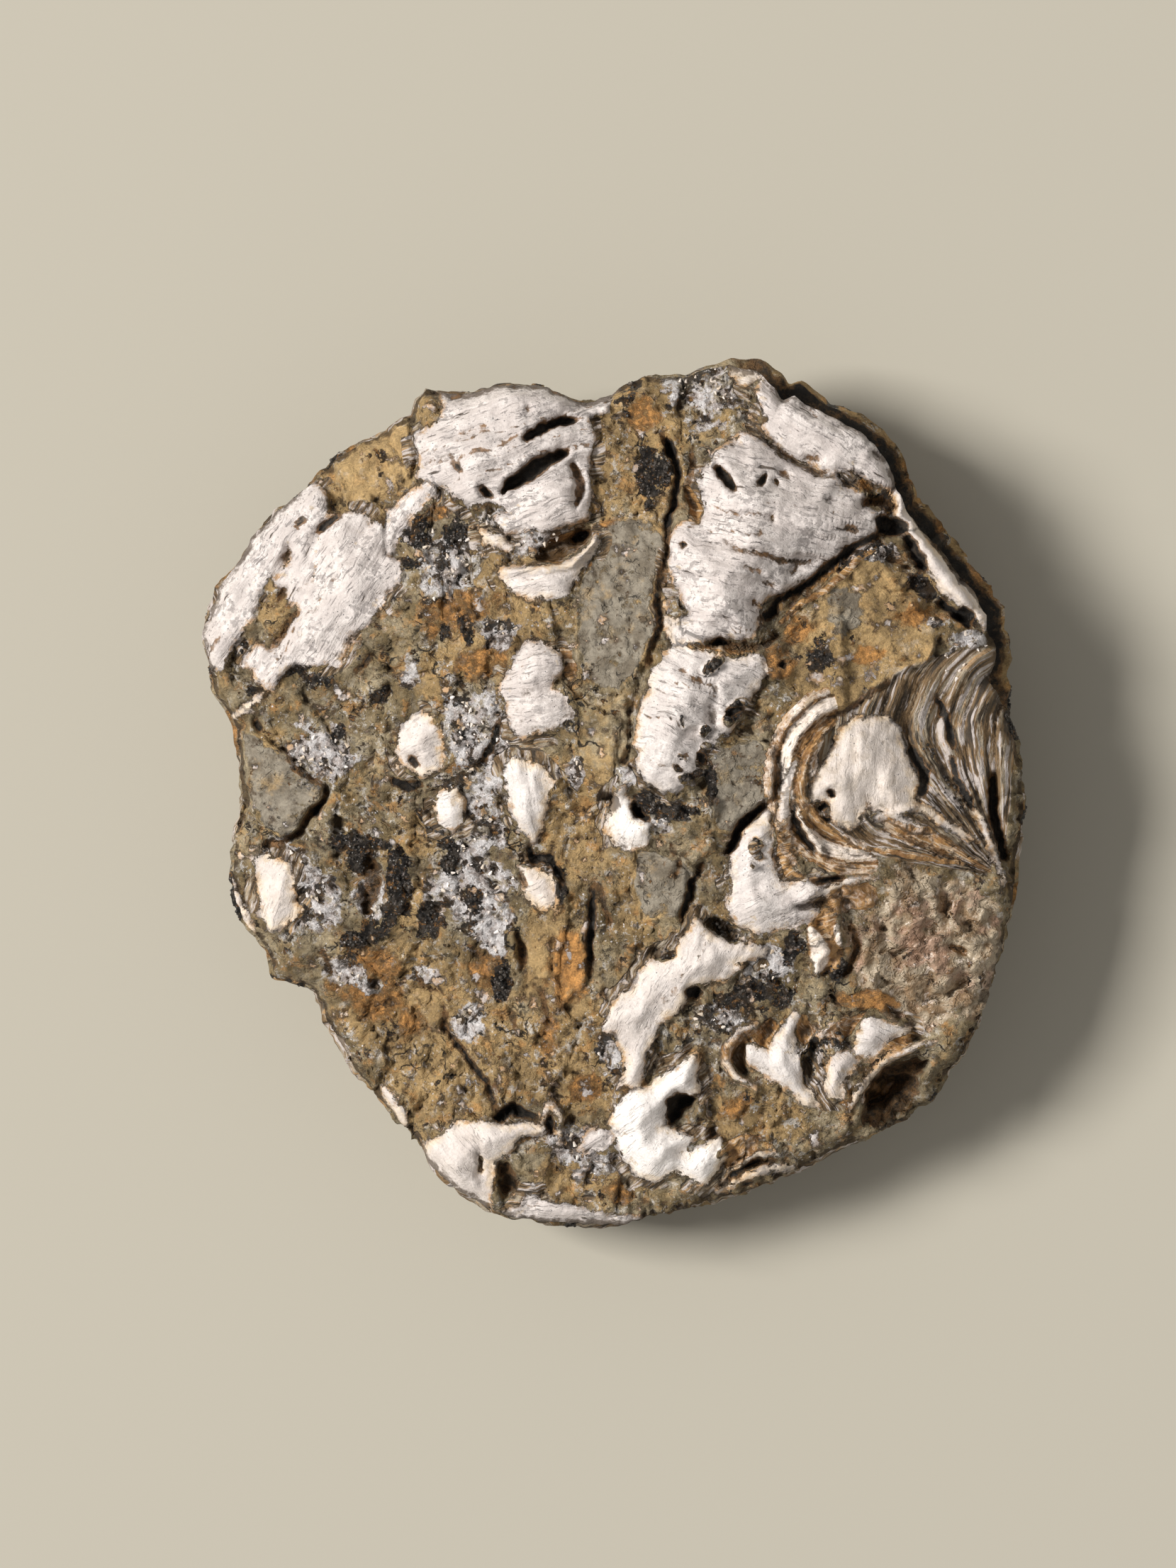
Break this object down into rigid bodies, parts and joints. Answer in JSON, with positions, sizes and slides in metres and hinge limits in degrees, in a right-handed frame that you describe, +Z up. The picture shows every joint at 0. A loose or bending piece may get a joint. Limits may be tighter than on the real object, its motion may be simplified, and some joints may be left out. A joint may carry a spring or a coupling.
{
  "type": "fossil oyster",
  "caption": "Worn fossil oyster shell filled with sandstone: chalky white lobes and a fan of thin shell plates in rusty grey stone, cupped underneath, lying on its worn flat.",
  "frame": {"origin": "middle of the bounding box, at the surface the fossil lies on", "axes": "+Z up out of the broken face, +Y towards the crest with the two tallest shell lobes, +X towards the worn hinge"},
  "size_m": [0.0702, 0.0742, 0.0268],
  "materials": {
    "shell_stone": "matte"
  },
  "bodies": {
    "root": {"fossil_oyster": "shell_stone"}
  },
  "joints": []
}
